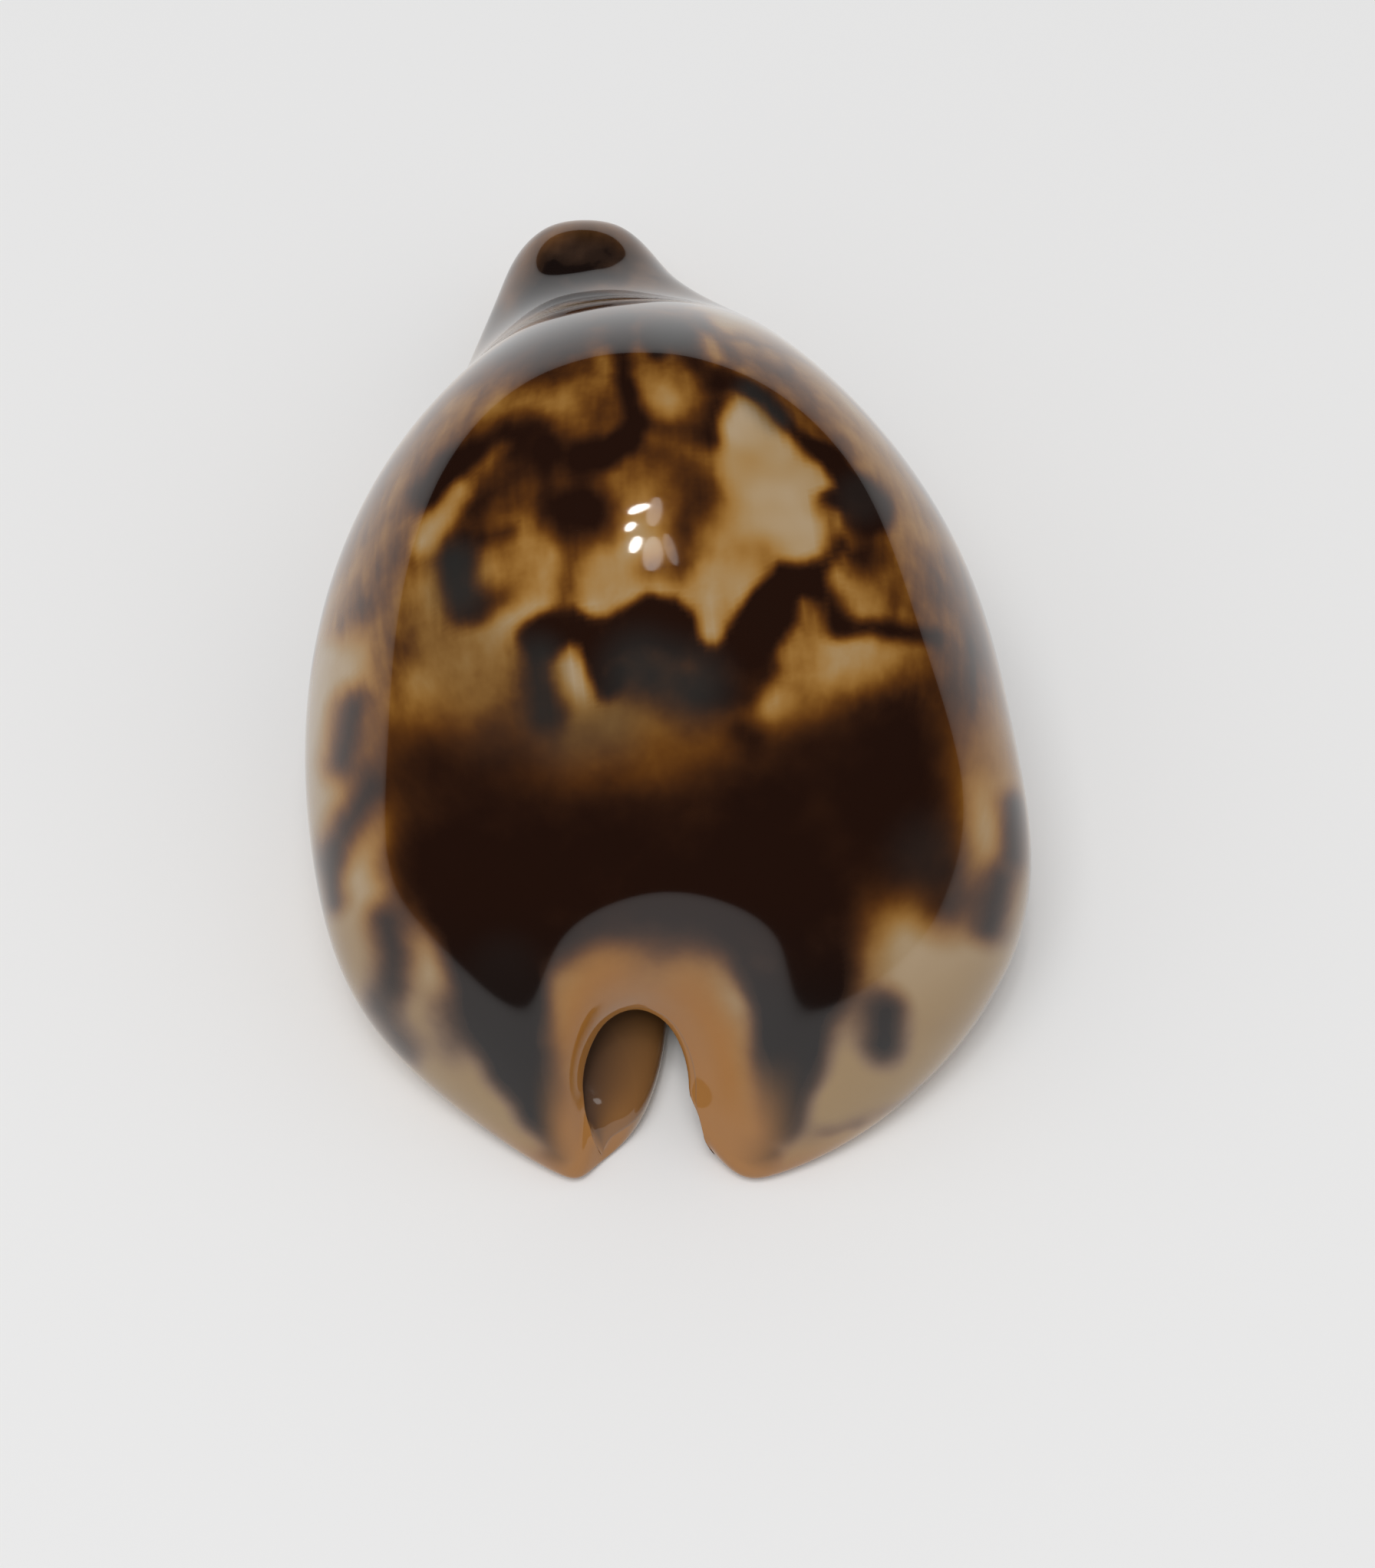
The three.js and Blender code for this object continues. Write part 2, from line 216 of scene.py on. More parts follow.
def sheet_points(net, s, t, inside, sizes):
    """Points of one face of the wall in the finished frame, in mm.

    Spline point, less the groove's depth along the normal, shifted over the origin, and worn flat
    where it would pass under the floor.
    """
    points = surface(net, s, t)
    e = 1e-4
    along = surface(net, np.minimum(s + e, 1), t) - surface(net, np.maximum(s - e, 0), t)
    round_ = surface(net, s, np.minimum(t + e, 1)) - surface(net, s, np.maximum(t - e, 0))
    normal = np.cross(round_, along)
    normal /= np.maximum(np.linalg.norm(normal, axis=2, keepdims=True), 1e-12)
    depth = groove_depth(s, t, inside, sizes)[..., None]
    points = points + (depth if inside else -depth) * normal + SHIFT
    points[..., 2] = np.maximum(points[..., 2], 0)
    return points, normal


def thin_corners(outside, inside, s, t):
    """The inside drawn onto the outside where the mouth's edge meets the back canal's rim.

    It keeps smoothstep(0, 0.05, s) of its distance there, and all of it past 0.08 round the section.
    """
    corner = (1 - smoothstep(0, 0.05, s))[:, None] * (1 - smoothstep(0.03, 0.08, np.minimum(t, 1 - t)))
    return inside + corner[..., None] * (outside - inside)


def tuck_corners(face, outside, s, t, outer_t):
    """A face of the wall with its two hind corners tucked towards the outside's points a little way in.

    The share is 0.8 at the corner, and falls by smoothstep to none at s 0.06 and 0.05 round the section.
    The points that they move towards are at s 0.05, and 0.035 round the section from each lip.
    """
    share = 0.8 * (1 - smoothstep(0, 0.06, s))[:, None] * (1 - smoothstep(0, 0.05, np.minimum(t, 1 - t)))
    row, column = np.searchsorted(s, 0.05), np.searchsorted(outer_t, 0.035)
    target = np.where((t < 0.5)[:, None], outside[row, column], outside[row, -1 - column])
    return face + share[..., None] * (target - face)


def column_shares():
    """Where the columns stand round the section: close at the lips, open on the base, close on the back.

    The shares from 0 to 0.5 are followed by the same ones counted back from 1. The second list picks the
    columns that the inside uses: all at the lips and each fourth elsewhere.
    """
    lips = np.linspace(0, 0.09, LIP_COLUMNS)
    base = np.linspace(0.09, 0.25, 25)[1:]
    back = np.linspace(0.25, 0.5, 65)[1:]
    half = np.concatenate([lips, base, back])
    open_part = np.arange(LIP_COLUMNS - 1 + INSIDE_STEP, len(half), INSIDE_STEP)
    keep = np.concatenate([np.arange(LIP_COLUMNS), open_part])
    last = 2 * (len(half) - 1)
    return np.concatenate([half, 1 - half[-2::-1]]), np.unique(np.concatenate([keep, last - keep]))


def row_shares():
    """Where the rows stand along the shell: even, and closer at the two canals' rims."""
    hind, body, front = np.linspace(0, 0.06, 25), np.linspace(0.06, 0.95, 250), np.linspace(0.95, 1, 17)
    return np.concatenate([hind, body[1:], front[1:]])


def grid_quads(index):
    """Four corners of each cell of an index grid, turning left about the outward normal."""
    return np.stack([index[:-1, :-1], index[:-1, 1:], index[1:, 1:], index[1:, :-1]], -1).reshape(-1, 4)


# The markings are drawn on a flat sheet through the aim, square to a fixed eye above and behind
# the shell, in mm. The sheet
# counts a to the right and b down, in its own unit, from where the aim stands on it.
AIM = np.array([-0.05, -4.6, 8.88])
EYE_ELEVATION = math.radians(64)
EYE_BACK = np.array([0.0, -math.cos(EYE_ELEVATION), math.sin(EYE_ELEVATION)])
EYE_UP = np.array([0.0, math.sin(EYE_ELEVATION), math.cos(EYE_ELEVATION)])
EYE_DISTANCE = 200.0
SHEET_UNIT = 0.462
SHEET_AIM = (86.8, 91.5)
SPREAD = 2.0  # how much further than drawn each edge has bled into the enamel

# Each stroke: how dark, radius, width of its soft edge, and the points of its line.
BACK_STAIN = [
    # washes of amber on the upper middle and the left shoulder
    (0.50, 4.0, 4.5, [(86, 50), (88, 58), (90, 66)]),
    (0.50, 2.0, 3.0, [(69, 63), (65.5, 67), (61.5, 69.5)]),
    (0.40, 1.6, 3.0, [(82, 61), (76, 62.6), (72, 64), (70, 66)]),
    (0.60, 1.8, 3.0, [(72, 57), (77, 56)]),
    (0.56, 1.8, 3.0, [(71, 48), (76, 45.5), (79.5, 44)]),
    (0.40, 1.5, 2.5, [(77, 51.5), (80, 53.5)]),
    (0.34, 3.0, 5.0, [(72, 49), (67, 54), (62, 62)]),
    (0.44, 3.5, 4.5, [(57, 85), (61, 89), (66, 93)]),
    (0.40, 1.8, 3.5, [(61, 72), (66, 75)]),
    (0.28, 2.0, 2.5, [(70, 73), (70, 77)]),
    (0.26, 2.0, 2.2, [(78, 73), (79.5, 78)]),
    (0.42, 1.5, 2.0, [(90, 76), (93, 79), (93, 82)]),
    (0.36, 1.2, 2.6, [(90, 71), (94, 73.5), (100, 74)]),
    (0.44, 1.4, 2.0, [(96, 46), (101, 50), (106, 56), (110, 61)]),
    (0.36, 1.8, 2.6, [(104, 82), (104.5, 86), (104, 90)]),
    (0.36, 3.0, 3.0, [(114, 76), (116, 80)]),
    # streak from the top, curving to the left shoulder
    (1.00, 0.5, 1.3, [(81.3, 42.5), (81.2, 46.5), (81.5, 50), (82.6, 53), (83.3, 56), (82.4, 58.2),
                      (79.8, 60)]),
    (0.92, 0.8, 1.8, [(82, 58.6), (79.8, 60.2), (76.5, 60.8)]),
    (0.74, 1.2, 2.6, [(77, 60.8), (73, 61), (69, 60.2)]),
    (0.50, 1.3, 2.4, [(70.4, 59.6), (67, 62), (64.5, 64.5), (62.3, 67)]),
    (0.95, 1.3, 2.2, [(69.5, 57.8), (66, 58), (62.5, 60), (59, 62.6), (56.4, 65.5)]),
    (0.55, 0.4, 1.4, [(59.5, 71.2), (62, 71.8), (65, 71), (66.6, 70.6)]),
    # blotches
    (0.92, 2.2, 3.0, [(73.8, 67.8), (76, 67.3), (78, 68.2)]),
    (0.66, 0.5, 2.2, [(75.5, 70), (75, 74), (74.3, 77.5), (74, 80)]),
    (0.97, 1.8, 2.0, [(59.6, 75), (59.8, 77.5), (61, 80)]),
    (0.74, 0.8, 2.2, [(60.5, 79.8), (63, 80), (65.6, 78.8)]),
    (0.50, 1.4, 3.0, [(53.5, 74), (53, 80), (51.5, 86), (51, 92), (51.5, 100), (53.5, 106)]),
    # thin washes down the flanks
    (0.56, 4.5, 5.0, [(66, 42), (58, 52), (51, 64), (48, 74)]),
    (0.42, 4.5, 5.0, [(104, 46), (114, 58), (122, 72), (127, 88), (128, 98)]),
    (0.45, 2.5, 4.5, [(124.5, 78), (126, 90)]),
    (0.55, 0.8, 2.4, [(85.5, 75.6), (89, 75)]),
    (0.50, 0.5, 2.0, [(84, 55.5), (88, 57), (92.5, 57.5)]),
    (0.44, 0.7, 2.2, [(87.5, 61), (91, 64.5), (92.7, 68.5)]),
    (0.44, 0.9, 2.6, [(91.3, 64), (92.3, 68), (90.2, 71)]),
    # chain along the upper right
    (0.92, 0.5, 1.0, [(84.7, 43.6), (85, 45.4), (86, 46.8)]),
    (0.80, 1.0, 1.2, [(86.8, 44.6), (88.5, 44.4)]),
    (0.90, 0.9, 1.6, [(89.6, 45.5), (91, 48), (93, 50.2), (94.3, 50)]),
    (0.86, 0.8, 2.0, [(93.5, 51), (94, 53), (93.1, 56), (92.5, 58)]),
    (1.00, 0.7, 1.1, [(94.3, 50.4), (97.2, 51.4), (99.8, 53.2), (101.6, 55.5), (103.4, 57.9),
                      (105.7, 59.9)]),
    (1.00, 1.0, 1.0, [(105.7, 59.9), (108.3, 60.7), (110.4, 63.5)]),
    (1.00, 2.5, 1.4, [(112, 66), (113.8, 67.6)]),
    (1.00, 0.8, 0.9, [(110, 66), (107.4, 66.4), (107.2, 68.2), (108.3, 70.5), (108.9, 72.3)]),
    (1.00, 0.8, 1.2, [(108.9, 72.3), (107.5, 74.6), (105, 75.6), (102.8, 75.6)]),
    (0.76, 1.4, 2.4, [(112, 69.5), (113, 72.5), (112.5, 74)]),
    (0.90, 0.3, 0.8, [(112.2, 73.7)]),
    (0.62, 0.3, 1.0, [(91, 42), (94, 45), (96.5, 48)]),
    # jagged band across the middle
    (1.00, 0.9, 1.3, [(69.8, 84), (71.5, 82.5), (74.5, 82.1), (77.5, 83.2), (80, 83.2), (82.5, 81.6),
                      (85, 80.6)]),
    (1.00, 0.9, 1.3, [(85, 80.6), (87.8, 80.6), (89.6, 82.2), (90.6, 85.3), (92.3, 87.2)]),
    (1.00, 1.7, 1.4, [(71.5, 84.8), (75, 84), (79, 85.6), (83, 84), (87, 83.4), (89, 85.5)]),
    (1.00, 0.8, 1.4, [(77.6, 86), (78.3, 89), (79.3, 91), (80.6, 89)]),
    (0.86, 1.1, 2.4, [(70, 85), (70.6, 90), (71.6, 94)]),
    (0.90, 2.2, 4.6, [(84, 88.5), (88, 89.5), (93, 91)]),
    (1.00, 1.5, 1.3, [(95.2, 88), (96.6, 84.5), (99, 81), (101, 78.7), (103, 77.3), (105.5, 76.6)]),
    (1.00, 2.2, 1.4, [(97, 88), (99.3, 84.5), (101.5, 81)]),
    (1.00, 2.0, 1.8, [(94, 90), (97, 91), (99, 88.5)]),
    (0.92, 0.9, 1.8, [(106.3, 77.4), (108.6, 80), (109.6, 82.5)]),
    (1.00, 0.4, 1.3, [(110.4, 83.2), (114, 83), (118, 83.6), (122, 84)]),
    (0.84, 0.8, 2.2, [(97, 96.5), (98.4, 97.6)]),
    (0.20, 4.0, 4.5, [(112, 88), (119, 88)]),
    (0.50, 3.5, 6.0, [(109, 98), (119, 95)]),
    (0.50, 2.6, 5.0, [(74, 98), (80, 99), (88, 98.5), (95, 98)]),
    # the hind slope, nearly black
    (0.62, 2.6, 5.0, [(57, 99), (61, 101), (66, 99.5)]),
    (0.98, 8.0, 6.5, [(63, 112.5), (72, 116), (85, 117), (100, 113.5), (111, 107.5)]),
    (0.80, 2.5, 6.0, [(56, 101), (62, 105), (72, 108), (84, 108), (96, 105.5), (106, 100)]),
    (0.86, 4.0, 6.0, [(109, 114), (115, 110), (118, 105), (117.5, 99)]),
    (1.00, 2.4, 2.6, [(69, 125), (72, 122.6), (76, 119.6)]),
    (1.00, 2.4, 2.6, [(99, 126), (97, 122), (93.4, 118.6)]),
    (1.00, 5.2, 2.2, [(62.5, 118), (64.3, 126), (66, 132)]),
    (1.00, 4.4, 2.2, [(66.2, 133), (68.4, 138)]),
    (1.00, 3.0, 2.0, [(68.8, 139), (71.2, 144.5)]),
    (0.97, 1.6, 2.0, [(71, 143), (73, 148.5)]),
    (1.00, 6.4, 2.2, [(104, 118), (104.4, 127)]),
    (1.00, 4.4, 2.2, [(103.6, 131), (102.6, 138)]),
    (0.97, 2.6, 2.2, [(102.4, 140), (101.6, 145)]),
    (0.90, 1.2, 2.2, [(101.6, 145), (101.4, 148)]),
    # spots on the sides
    (0.75, 2.4, 3.4, [(54, 113), (57, 118)]),
    (0.90, 0.9, 3.0, [(46.2, 93.5), (45.6, 97), (44.8, 100)]),
    (0.90, 0.8, 3.0, [(48.6, 103.5), (46.3, 107.2), (43.6, 111.5)]),
    (0.60, 0.6, 2.6, [(44.5, 82.5), (46.5, 80)]),
    (0.90, 0.4, 2.2, [(43, 113.5), (43.6, 118)]),
    (0.92, 1.0, 2.8, [(50.6, 121), (51.4, 125), (51.2, 129)]),
    (0.80, 0.7, 2.6, [(49.6, 132), (52.8, 137.5)]),
    (0.62, 0.8, 3.0, [(58.5, 132), (59.6, 136)]),
    (1.00, 1.5, 2.4, [(115.6, 132.6), (115.3, 136.5)]),
    (0.95, 0.8, 2.6, [(130.6, 115.5), (129.2, 121.5)]),
    (0.80, 2.8, 4.0, [(121, 110), (124, 117.5)]),
    (0.90, 0.8, 2.4, [(132.5, 106), (132.3, 112)]),
    (0.70, 0.8, 2.4, [(100.5, 150.4), (99.8, 152.5)]),
    (0.60, 0.5, 2.4, [(104, 151.2), (107, 149.6)]),
    (0.55, 1.5, 3.5, [(112, 124), (111, 132)]),
    # the snout's brown top
    (0.66, 7.0, 4.0, [(69, 42), (73, 34), (81, 34), (84, 38)]),
    (0.92, 2.6, 2.0, [(68.5, 36.5), (73, 33), (77, 31.8), (81, 31.6)]),
    (0.95, 0.5, 0.8, [(75, 35.9), (78, 35.4), (81, 35.7)]),
    (0.95, 0.4, 0.8, [(71.4, 40.3), (73, 38.3), (79, 38.8)]),
]
# Where the pale enamel is kept clear of stain.
BACK_CLEAR = [
    (0.92, 2.4, 1.6, [(97.5, 57), (101, 60.5), (104, 63.5)]),
    (0.92, 3.0, 2.2, [(98.5, 62), (102, 66.5), (104.4, 70.6)]),
    (0.50, 2.0, 2.2, [(94.5, 70), (97.5, 74), (93.5, 77.5)]),
    (0.80, 0.6, 1.4, [(92.9, 80), (92.9, 83.4)]),
    (0.55, 0.5, 1.3, [(74.8, 86.5), (75.3, 89), (76, 91.6)]),
    (0.55, 1.4, 2.0, [(86.6, 53)]),
    (0.65, 0.8, 1.4, [(60, 65.5), (57, 69.3), (55.4, 72)]),
    (0.30, 0.4, 1.0, [(66, 59.2), (63, 62.2), (60.6, 64.8)]),
]
# Where the stain lies deep under clear enamel and looks blue-black.
BACK_VEIL = [
    (0.9, 1.8, 2.4, [(59.6, 75), (60, 78)]),
    (0.4, 4.0, 5.0, [(58, 84), (62, 88), (66, 92)]),
    (0.4, 2.2, 2.0, [(112.6, 66)]),
    (0.9, 2.6, 4.0, [(84, 89), (90, 91)]),
    (0.8, 1.0, 2.6, [(70.8, 87), (71.2, 94)]),
    (0.7, 2.0, 3.5, [(74, 97), (80, 96)]),
    (0.8, 0.8, 1.6, [(98, 52), (101.5, 55.8)]),
    (0.8, 1.4, 2.0, [(87.5, 44.5)]),
    (0.3, 3.0, 3.0, [(66, 128), (69, 138)]),
    (0.3, 3.0, 3.0, [(103, 136), (101, 143)]),
    (0.4, 3.0, 4.0, [(122, 113)]),
]
# The clear golden enamel beside the rims of the back canal and of the snout.
RIM_GOLD = [
    (1.0, 2.4, 3.4, [(78.2, 150), (77.4, 142), (76.2, 136), (76.8, 132), (79.6, 129.2)]),
    (0.8, 0.8, 6.0, [(79.4, 130.5), (84, 129), (88.6, 131)]),
    (1.0, 2.4, 3.4, [(89.6, 131), (93.2, 136), (94.2, 142), (94.4, 149)]),
    (0.5, 0.4, 2.4, [(66, 38), (69, 31), (74, 28.6), (80, 29), (84, 32)]),
]


def drawing_sheet(points):
    """a and b of points, in mm: sideways and upward parts over the depth's share of the eye's distance."""
    d = points - AIM
    shrink = 1 - (d @ EYE_BACK) / EYE_DISTANCE
    return (SHEET_AIM[0] + d[..., 0] / shrink / SHEET_UNIT,
            SHEET_AIM[1] - (d @ EYE_UP) / shrink / SHEET_UNIT)


def drawn(a, b, strokes):
    """How strongly strokes cover each (a, b): 1 - product of (1 - strength * soft edge of its line).

    The edge bleeds both ways, so that it is at half strength where it was drawn.
    """
    clear = np.ones_like(a)
    for strength, radius, soft, line in strokes:
        nearest = np.full_like(a, 1e9)
        for (a0, b0), (a1, b1) in zip(line, line[1:] or line):
            da, db = a1 - a0, b1 - b0
            k = np.clip(((a - a0) * da + (b - b0) * db) / max(da * da + db * db, 1e-9), 0, 1)
            nearest = np.minimum(nearest, np.hypot(a - a0 - k * da, b - b0 - k * db))
        bleed = (SPREAD - 1) * soft / 2
        clear *= 1 - strength * (1 - smoothstep(radius - bleed, radius + soft + bleed, nearest))
    return 1 - clear


# The mesh's own fields, each 0 to 1 but for swing: the last three are the inside's.
FIELDS = ("stain", "swing", "clouds", "veil", "seen", "callus", "rim", "honey", "base", "teeth",
          "hollow", "painted_throat_shade", "lip")
# The callus is whole up to the first height, in mm, and ends at the second.
CALLUS_HEIGHTS = 9.0, 19.0
# Bounds as shares round the section from the lip, of the underside and of the pale teeth.
UNDERSIDE, TEETH_BAND = (0.15, 0.23), (0.02, 0.09)
# The underside turns from caramel to cream between these shares along the shell.
CREAM_FROM = 0.10, 0.26
# Down the sheet, from the first of these to the second, the noise becomes calmer by this share.
CALM_SHEET, CALM_SHARE = (88, 98), 0.6
# The stain that is left in the golden enamel, and how fully honey and veil cover where they are drawn.
GOLD_STAIN, HONEY_COVER, VEIL_COVER = 0.40, 0.75, 0.75


def enamel_fields(outside, normal, s, t, keep):
    """The markings at each vertex of the outer face and of the inner face's own points.

    On the back they are the drawn strokes; past where the eye sees, they fade out, and the shader's own
    blotches take over. Height gives the callus, and the share round the section gives the base. Swing is
    3 stain (1.15 - stain), how far noise moves the stain, and it and the clouds are calmer behind.
    """
    a, b = drawing_sheet(outside)
    toward = AIM + EYE_DISTANCE * EYE_BACK - outside
    seen = (normal * toward).sum(-1) / np.linalg.norm(toward, axis=-1)
    edge = np.minimum(t, 1 - t)[None, :] + 0 * s[:, None]
    # Seen fades out where the surface turns away from the eye, and at the base.
    seen = smoothstep(0.02, 0.16, seen) * smoothstep(0.19, 0.23, edge)
    stain = drawn(a, b, BACK_STAIN) * (1 - drawn(a, b, BACK_CLEAR))
    gold = drawn(a, b, RIM_GOLD) * seen
    stain = stain * (1 - gold) + GOLD_STAIN * gold
    calm = CALM_SHARE * smoothstep(*CALM_SHEET, b) * seen
    along = s[:, None] + 0 * edge
    # Caramel covers the two canals' rims, the lobes' lower part and the underside near the back canal.
    lobes = (1 - smoothstep(0.02, 0.10, along)) * (1 - smoothstep(0.22, 0.32, edge))
    under = 1 - smoothstep(*UNDERSIDE, edge)
    cream = smoothstep(*CREAM_FROM, along)
    rim = np.maximum(1 - smoothstep(0.004, 0.03, along), lobes)
    rim = np.maximum(rim, under * (1 - cream))
    fields = {
        "stain": stain,
        "swing": 3 * stain * (1.15 - stain) * (1 - calm),
        "clouds": 1 - calm,
        "veil": VEIL_COVER * drawn(a, b, BACK_VEIL) * seen,
        "seen": seen,
        "callus": (1 - smoothstep(*CALLUS_HEIGHTS, outside[..., 2])) * (1 - gold),
        "rim": np.maximum(rim, 0.8 * smoothstep(0.955, 0.99, along)),
        "honey": HONEY_COVER * gold * gold * smoothstep(0.004, 0.02, along) * smoothstep(0.20, 0.30, edge),
        "base": under * cream,
        "teeth": (1 - smoothstep(*TEETH_BAND, edge)) * smoothstep(0.24, 0.30, along),
    }
    deep = s[:, None] + 0 * edge[:, keep]
    inner_edge = (1 - smoothstep(0.01, 0.06, edge[:, keep])) * (1 - smoothstep(0.28, 0.36, deep))
    lining = {
        "hollow": 1 + 0 * deep,
        # umber over the hind part of the inside: painted shade of the hollow seen through the back canal
        "painted_throat_shade": 1 - smoothstep(0.30, 0.42, deep),
        "lip": np.maximum(1 - smoothstep(0.01, 0.05, deep), 0.6 * inner_edge),
    }
    # The inside's own points leave out the rims and the mouth's edge, which the outside has.
    return {
        name: np.concatenate([
            fields.get(name, 0 * along).ravel(),
            lining.get(name, 0 * deep)[1:-1, 1:-1].ravel(),
        ])
        for name in FIELDS
    }


def shell_mesh(sizes):
    """The shell as one closed mesh: two sheets over (s, t) that share the mouth's edge and the rims."""
    s, (t, keep) = row_shares(), column_shares()
    net = outer_net()
    outside, normal = sheet_points(net, s, t, False, sizes)
    inside, _ = sheet_points(inner_net(net), s, t[keep], True, sizes)
    inside = thin_corners(outside[:, keep], inside, s, t[keep])
    inside = tuck_corners(inside, outside, s, t[keep], t)
    outside = tuck_corners(outside, outside, s, t, t)
    rows, cols = len(s), len(t)
    outer = np.arange(rows * cols).reshape(rows, cols)
    inner = np.full((rows, len(keep)), -1)
    inner[1:-1, 1:-1] = rows * cols + np.arange((rows - 2) * (len(keep) - 2)).reshape(rows - 2, -1)
    inner[:, 0], inner[:, -1] = outer[:, 0], outer[:, -1]
    inner[0], inner[-1] = outer[0, keep], outer[-1, keep]
    points = np.concatenate([outside.reshape(-1, 3), inside[1:-1, 1:-1].reshape(-1, 3)])
    faces = grid_quads(outer).tolist() + grid_quads(inner[1:-1])[:, ::-1].tolist()
    # Beside a rim the outside has more columns than the inside, so those cells take them all.
    for rim, row in ((0, 1), (rows - 1, rows - 2)):
        for step in (1, INSIDE_STEP):
            k = np.flatnonzero(np.diff(keep) == step)
            run = outer[rim, keep[k][:, None] + np.arange(step + 1)]
            cell = np.concatenate([run, inner[row, k + 1][:, None], inner[row, k][:, None]], 1)
            faces += (cell[:, ::-1] if rim == 0 else cell).tolist()
    mesh = bpy.data.meshes.new("shell_enamel")
    mesh.from_pydata(points * MM, [], faces)
    mesh.update()
    mesh.shade_smooth()
    for name, value in enamel_fields(outside, normal, s, t, keep).items():
        mesh.attributes.new(name, "FLOAT", "POINT").data.foreach_set("value", value.astype(np.float32))
    return mesh


def node(tree, kind, settings=None, **links):
    """Adds a node: its settings, then each input's value or link by socket name (_ for a space) or iN."""
    made = tree.nodes.new(kind)
    for name, value in (settings or {}).items():
        setattr(made, name, value)
    for name, value in links.items():
        key = int(name[1:]) if name[0] == "i" and name[1:].isdigit() else name.replace("_", " ")
        if isinstance(value, bpy.types.NodeSocket):
            tree.links.new(value, made.inputs[key])
        else:
            made.inputs[key].default_value = value
    return made


def new_material(name):
    """A material with an empty node tree, and that tree."""
    material = bpy.data.materials.new(name)
    material.use_nodes = True
    material.node_tree.nodes.clear()
    return material, material.node_tree


# Natural variation in the enamel: name, grain in mm, detail, scale along y and turn in degrees. The
# streaks run obliquely over the back, as the growth lines do.
GRAINS = [
    ("coarse", 2.2, 3, 1, 0),
    ("fine", 0.7, 2, 1, 0),
    ("streak", 1.1, 2, 0.22, -24),
    ("cloud", 6, 2, 1, 0),
    ("blotch", 9, 1, 1, 0),
    ("fleck", 4, 2, 1, 0),
]
# How far each grain frays the drawn stain, and how far the clouds lighten and darken it.
FRAY = [("coarse", 0.36), ("fine", 0.08), ("streak", 0.30)]
CLOUDINESS, CLOUD_MIDDLE = 0.7, 0.46


def enamel_material(colours):
    """Natural shell enamel, laid down in thin clear coats by the animal and polished by its mantle.

    It looks wet and deep: a sharp gloss over stains that lie under clear layers, so that a dense one has
    an amber edge. On the sides a milky callus softens them. The base is plain cream.
    """
    material, tree = new_material("natural shell enamel, polished")
    place = node(tree, "ShaderNodeTexCoord").outputs["Object"]
    field = {name: node(tree, "ShaderNodeAttribute", {"attribute_name": name}).outputs["Fac"]
             for name in FIELDS}
    grain = {}
    for name, size_mm, detail, stretch, turn in GRAINS:
        spot = node(tree, "ShaderNodeMapping", None, Vector=place,
                    Rotation=(0, 0, math.radians(turn)), Scale=(1, stretch, 1))
        grain[name] = node(tree, "ShaderNodeTexNoise", None, Vector=spot.outputs[0],
                           Scale=1 / (size_mm * MM), Detail=detail).outputs["Fac"]
    # The drawn stain: stain + swing (each grain's share of its part over a half) + clouds about nothing.
    frayed = -sum(share for _, share in FRAY) / 2
    for name, share in FRAY:
        frayed = node(tree, "ShaderNodeMath", {"operation": "MULTIPLY_ADD"},
                      i0=grain[name], i1=share, i2=frayed).outputs[0]
    cloudy = node(tree, "ShaderNodeMath", {"operation": "MULTIPLY_ADD"},
                  i0=grain["cloud"], i1=CLOUDINESS, i2=-CLOUDINESS * CLOUD_MIDDLE).outputs[0]
    stain = field["stain"]
    for share, part in ((field["swing"], frayed), (field["clouds"], cloudy)):
        stain = node(tree, "ShaderNodeMath", {"operation": "MULTIPLY_ADD"},
                     i0=share, i1=part, i2=stain).outputs[0]
    # Out of the drawing's sight the blotches are noise alone.
    wild = node(tree, "ShaderNodeMix", None, i0=0.35, i2=grain["blotch"], i3=grain["fleck"]).outputs[0]
    wild = node(tree, "ShaderNodeMapRange", {"interpolation_type": "SMOOTHSTEP"},
                Value=wild, From_Min=0.42, From_Max=0.60).outputs[0]
    stain = node(tree, "ShaderNodeMix", None, i0=field["seen"], i2=wild, i3=stain).outputs[0]
    tones = []
    for stops in (
        [(0.00, colours.pale), (0.16, colours.cream), (0.36, colours.gold),
         (0.60, colours.amber), (0.82, colours.brown), (1.00, colours.black)],
        [(0.00, colours.callus), (0.30, colours.tan), (0.62, colours.umber), (0.95, colours.plum)],
    ):
        made = node(tree, "ShaderNodeValToRGB", None, Fac=stain)
        made.color_ramp.interpolation = "B_SPLINE"
        while len(made.color_ramp.elements) < len(stops):
            made.color_ramp.elements.new(1)
        for element, (at, tone) in zip(made.color_ramp.elements, stops):
            element.position, element.color = at, (*tone, 1)
        tones.append(made.outputs[0])
    # Each layer covers the one before by its own field.
    layers = {
        "veil": colours.slate, "callus": tones[1], "rim": colours.caramel, "honey": colours.honey,
        "base": colours.flesh, "teeth": colours.ivory,
        # The throat's umber on the hind inside is painted shade of the hollow, not a colour of the enamel.
        "hollow": colours.lining, "painted_throat_shade": colours.umber, "lip": colours.caramel,
    }
    colour = tones[0]
    for name, tone in layers.items():
        tone = tone if isinstance(tone, bpy.types.NodeSocket) else (*tone, 1)
        colour = node(tree, "ShaderNodeMix", {"data_type": "RGBA"},
                      i0=field[name], i6=colour, i7=tone).outputs[2]
    shader = node(tree, "ShaderNodeBsdfPrincipled", None, Base_Color=colour, Roughness=0.05, IOR=1.5)
    node(tree, "ShaderNodeOutputMaterial", None, Surface=shader.outputs[0])
    return material


